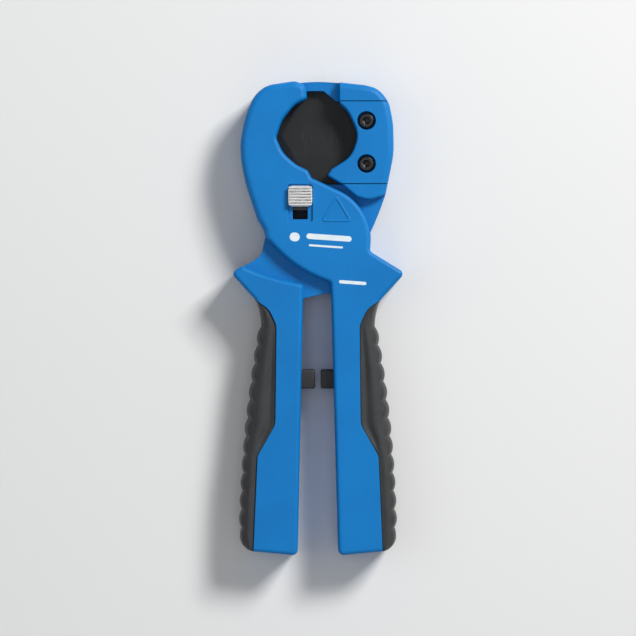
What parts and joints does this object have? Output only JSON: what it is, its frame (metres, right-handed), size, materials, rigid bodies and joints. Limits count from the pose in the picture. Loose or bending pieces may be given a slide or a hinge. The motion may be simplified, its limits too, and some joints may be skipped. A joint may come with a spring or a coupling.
{
  "type": "plastic pipe cutter",
  "caption": "One-hand cutter for plastic pipe: hooked jaw and blade lever crossing at a pivot, dark blade across the round opening, thumb slide lock, and ribbed soft grips.",
  "frame": {"origin": "middle of the tool's outline, on the surface that its rear face lies on", "axes": "+Y from the handle ends to the jaws, +Z out of the front face, +X to the blade jaw's side"},
  "size_m": [0.077, 0.2159, 0.0268],
  "materials": {
    "blue_plastic": "satin moulded",
    "soft_grip": "fine matt texture",
    "stop_rubber": "smooth matt",
    "blade_coat": "dark non-stick coating",
    "black_steel": "black oxide",
    "bright_steel": "zinc plated",
    "button_metal": "satin plated",
    "spring_steel": "drawn wire",
    "brass": "knurled",
    "bronze": "sintered"
  },
  "bodies": {
    "hook_lever": {"hook_shell_front": "blue_plastic", "hook_shell_rear": "blue_plastic", "grip_right": "soft_grip", "stop_right": "stop_rubber", "shell_screws": "black_steel", "shell_inserts": "brass", "pivot_pin": "bright_steel", "pivot_screw": "black_steel", "pivot_washer": "bright_steel", "lock_spring": "spring_steel"},
    "blade_arm": {"blade_lever": "blue_plastic", "blade": "blade_coat", "blade_clamp": "blue_plastic", "clamp_screws": "black_steel", "clamp_nuts": "bright_steel", "pivot_bush": "bronze", "grip_left": "soft_grip", "stop_left": "stop_rubber", "return_spring": "spring_steel"},
    "lock": {"lock_button": "button_metal", "lock_slide": "black_steel", "lock_pin": "bright_steel", "lock_screw": "black_steel"}
  },
  "joints": [
    {"name": "open", "type": "hinge", "parent": "hook_lever", "child": "blade_arm", "pos_m": [0, 0.0364, 0.012], "axis": [0, 0, -1], "range_deg": [-2, 48], "deforming": ["return_spring"]},
    {"name": "unlock", "type": "slide", "parent": "hook_lever", "child": "lock", "axis": [0, -1, 0], "range_m": [0, 0.0062]}
  ]
}
